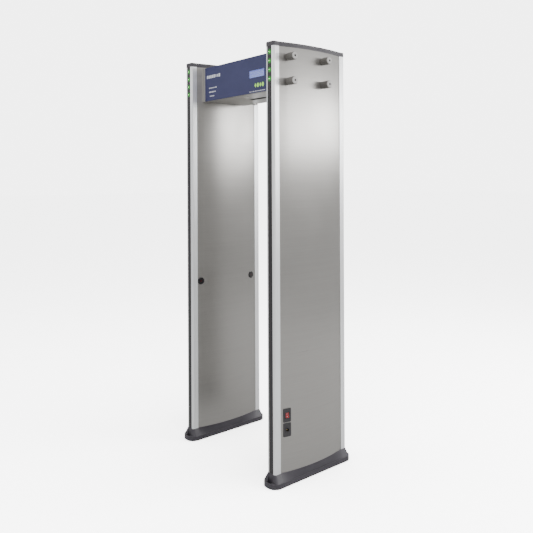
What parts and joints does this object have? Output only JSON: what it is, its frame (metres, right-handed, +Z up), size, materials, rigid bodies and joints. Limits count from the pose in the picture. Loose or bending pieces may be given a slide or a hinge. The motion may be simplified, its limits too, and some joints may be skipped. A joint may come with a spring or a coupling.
{
  "type": "walk-through detector gate",
  "caption": "Free-standing walk-through metal detector: twin lens-section steel panels on moulded feet, joined by an overhead control unit.",
  "frame": {"origin": "on the floor, midway between the panels and midway between their front and rear faces", "axes": "+Z up; X across the passage with the power plates on the +X panel; the control face looks along -Y"},
  "size_m": [0.978, 0.568, 2.25],
  "materials": {
    "moulded_plastic": "fine moulded texture, satin black",
    "strip_plastic": "semi-gloss black extrusion",
    "profile_aluminium": "satin anodised extrusion",
    "skin_steel": "fine horizontal brushed grain",
    "case_steel": "brushed sheet",
    "face_blue": "satin dark blue",
    "window_clear": "clear window",
    "screen": "backlit blue screen",
    "key_lime": "lime key caps",
    "lamp_green": "lit green lamp lenses",
    "knob_plastic": "ribbed dark grey plastic",
    "knob_cap": "pale grey inserts",
    "sensor_black": "black bezels",
    "sensor_window": "dark infrared windows",
    "plate_black": "black plates and socket",
    "rocker_red": "translucent red rocker",
    "zinc_steel": "plated steel",
    "contact_brass": "bright contact",
    "board_green": "circuit board",
    "coil_board": "stiff fibre board",
    "coil_copper": "lacquered copper loops",
    "key_rubber": "key mat",
    "inner_plastic": "posts and supply case"
  },
  "bodies": {
    "root": {"beam_windows": "sensor_window", "board_posts": "inner_plastic", "cap_screws": "zinc_steel", "clamp_knobs": "knob_plastic", "clamp_studs": "zinc_steel", "clamp_tubes": "zinc_steel", "control_case": "case_steel", "control_face": "face_blue", "display_module": "screen", "display_window": "window_clear", "floor_bushes": "zinc_steel", "foot_screws": "zinc_steel", "hinge_pins": "zinc_steel", "inlet_contact": "contact_brass", "inlet_plate": "plate_black", "inlet_socket": "plate_black", "key_mat": "key_rubber", "knob_caps": "knob_cap", "left_beam_sensors": "sensor_black", "left_cheek": "case_steel", "left_coil_board": "coil_board", "left_foot": "moulded_plastic", "left_front_profile": "profile_aluminium", "left_front_strip": "strip_plastic", "left_inner_skin": "skin_steel", "left_lamp_board": "board_green", "left_lamps": "lamp_green", "left_outer_skin": "skin_steel", "left_rear_profile": "profile_aluminium", "left_rear_strip": "strip_plastic", "left_top_cap": "moulded_plastic", "main_board": "board_green", "plate_rivets": "plate_black", "power_supply": "inner_plastic", "receive_coils": "coil_copper", "right_beam_sensors": "sensor_black", "right_cheek": "case_steel", "right_coil_board": "coil_board", "right_foot": "moulded_plastic", "right_front_profile": "profile_aluminium", "right_front_strip": "strip_plastic", "right_inner_skin": "skin_steel", "right_lamp_board": "board_green", "right_lamps": "lamp_green", "right_outer_skin": "skin_steel", "right_rear_profile": "profile_aluminium", "right_rear_strip": "strip_plastic", "right_top_cap": "moulded_plastic", "rocker_frame": "sensor_black", "sounder": "plate_black", "switch_plate": "plate_black", "transmit_coils": "coil_copper"},
    "rocker": {"rocker": "rocker_red"},
    "hatch": {"hatch": "case_steel"},
    "hatch_lock": {"hatch_lock": "zinc_steel"},
    "key_1": {"key_1": "key_lime"},
    "key_2": {"key_2": "key_lime"},
    "key_3": {"key_3": "key_lime"},
    "key_4": {"key_4": "key_lime"}
  },
  "joints": [
    {"name": "key_1_press", "type": "slide", "parent": "root", "child": "key_1", "axis": [0, 1, 0], "range_m": [0, 0.0012], "stiffness_N_per_m": 800},
    {"name": "key_2_press", "type": "slide", "parent": "root", "child": "key_2", "axis": [0, 1, 0], "range_m": [0, 0.0012], "stiffness_N_per_m": 800},
    {"name": "key_3_press", "type": "slide", "parent": "root", "child": "key_3", "axis": [0, 1, 0], "range_m": [0, 0.0012], "stiffness_N_per_m": 800},
    {"name": "key_4_press", "type": "slide", "parent": "root", "child": "key_4", "axis": [0, 1, 0], "range_m": [0, 0.0012], "stiffness_N_per_m": 800},
    {"name": "rocker_tilt", "type": "hinge", "parent": "root", "child": "rocker", "pos_m": [0.41304, -0.18081, 0.352], "axis": [0.1913, 0.9815, 0], "range_deg": [0, 18]},
    {"name": "hatch_swing", "type": "hinge", "parent": "root", "child": "hatch", "pos_m": [0, 0.131, 2.015], "axis": [1, 0, 0], "range_deg": [0, 85]},
    {"name": "lock_turn", "type": "hinge", "parent": "hatch", "child": "hatch_lock", "pos_m": [0, -0.112, 2.018], "axis": [0, 0, 1], "range_deg": [-90, 0]}
  ]
}
